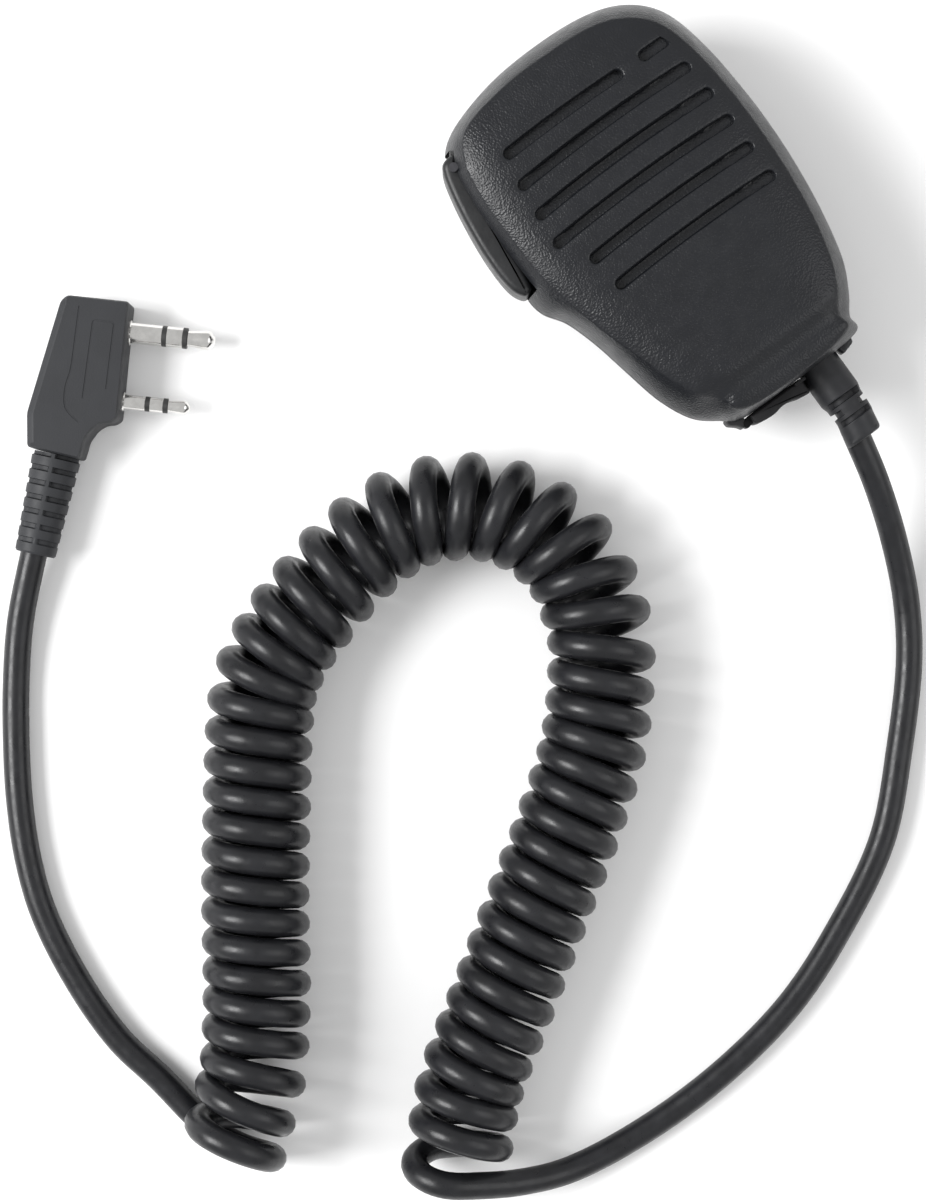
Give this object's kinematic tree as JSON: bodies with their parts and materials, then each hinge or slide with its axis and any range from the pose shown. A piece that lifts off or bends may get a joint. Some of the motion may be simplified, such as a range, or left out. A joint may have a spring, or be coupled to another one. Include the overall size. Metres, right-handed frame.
{
  "type": "hand microphone",
  "caption": "Speaker microphone with a side talk bar, slotted front, swivel clothing clip, curly cord and two-pin plug.",
  "frame": {"origin": "centre of the head's footprint, on the surface that its clip lies on", "axes": "+Z towards the side that the slotted front faces, +Y to the head's top, away from the cord, +X to the right seen from the front"},
  "size_m": [0.1777, 0.1712, 0.028],
  "materials": {
    "shell_plastic": "black moulded plastic with a fine leather grain",
    "button_rubber": "satin black rubber",
    "cover_rubber": "matte black rubber",
    "cord_jacket": "semi-gloss black jacket",
    "relief_rubber": "satin black rubber",
    "plug_plastic": "dark grey moulded plastic",
    "plated": "nickel plate",
    "insulator": "black insulating rings",
    "steel": "zinc-plated steel",
    "brass": "turned",
    "board": "green solder resist",
    "dark_parts": "dark moulded parts",
    "pale_plastic": "natural nylon",
    "cloth": "fine black woven cloth",
    "wire": "coloured wire insulation"
  },
  "bodies": {
    "head": {"front_housing": "shell_plastic", "rear_housing": "shell_plastic", "jack_cover_anchor": "cover_rubber", "mic_boot": "cover_rubber", "speaker_gasket": "cover_rubber", "cord_mic_lead": "cord_jacket", "cord_coil": "cord_jacket", "cord_plug_lead": "cord_jacket", "cord_tail": "cord_jacket", "strain_relief": "relief_rubber", "plug_body": "plug_plastic", "plug_boot": "plug_plastic", "large_pin_sleeve": "plated", "large_pin_ring": "plated", "large_pin_tip": "plated", "small_pin_sleeve": "plated", "small_pin_ring": "plated", "small_pin_tip": "plated", "mic_capsule": "plated", "speaker_magnet": "plated", "large_pin_insulators": "insulator", "small_pin_insulators": "insulator", "housing_screws": "steel", "board_screws": "steel", "clamp_screws": "steel", "clip_screw": "steel", "clip_washer": "steel", "ptt_pivot_pin": "steel", "speaker_basket": "steel", "clip_insert": "brass", "circuit_board": "board", "board_parts": "dark_parts", "ptt_switch": "dark_parts", "ear_jack": "dark_parts", "cord_clamp": "pale_plastic", "grille_cloth": "cloth", "cord_cores": "wire", "speaker_wires": "wire"},
    "talk_bar": {"ptt_button": "button_rubber"},
    "switch_plunger": {"ptt_plunger": "pale_plastic"},
    "socket_flap": {"jack_cover": "cover_rubber"},
    "diaphragm": {"speaker_cone": "cloth"},
    "clip": {"clip_base": "shell_plastic", "clip_pin": "steel", "clip_spring": "steel"},
    "clip_lever": {"clip_jaw": "shell_plastic"}
  },
  "joints": [
    {"name": "talk_bar_hinge", "type": "hinge", "parent": "head", "child": "talk_bar", "pos_m": [-0.0209, 0.027, 0.0177], "axis": [0, 0, 1], "range_deg": [0, 2.5], "stiffness_Nm_per_rad": 0.5},
    {"name": "switch_plunger_slide", "type": "slide", "parent": "head", "child": "switch_plunger", "axis": [1, 0, 0], "range_m": [0, 0.00055]},
    {"name": "socket_flap_hinge", "type": "hinge", "parent": "head", "child": "socket_flap", "pos_m": [-0.0062, -0.0339, 0.0145], "axis": [0, 0, -1], "range_deg": [0, 90]},
    {"name": "diaphragm_travel", "type": "slide", "parent": "head", "child": "diaphragm", "axis": [0, 0, 1], "range_m": [-0.0003, 0.0003], "stiffness_N_per_m": 600},
    {"name": "clip_swivel", "type": "hinge", "parent": "head", "child": "clip", "pos_m": [0, 0.008, 0.0079], "axis": [0, 0, 1], "continuous": true},
    {"name": "clip_lever_hinge", "type": "hinge", "parent": "clip", "child": "clip_lever", "pos_m": [0, 0.0175, 0.004], "axis": [1, 0, 0], "range_deg": [0, 20], "stiffness_Nm_per_rad": 0.3, "springref_deg": -17.19, "deforming": ["clip_spring"]}
  ],
  "couplings": [
    {"joint": "switch_plunger_slide", "follows": "talk_bar_hinge", "m_per_rad": 0.012}
  ]
}
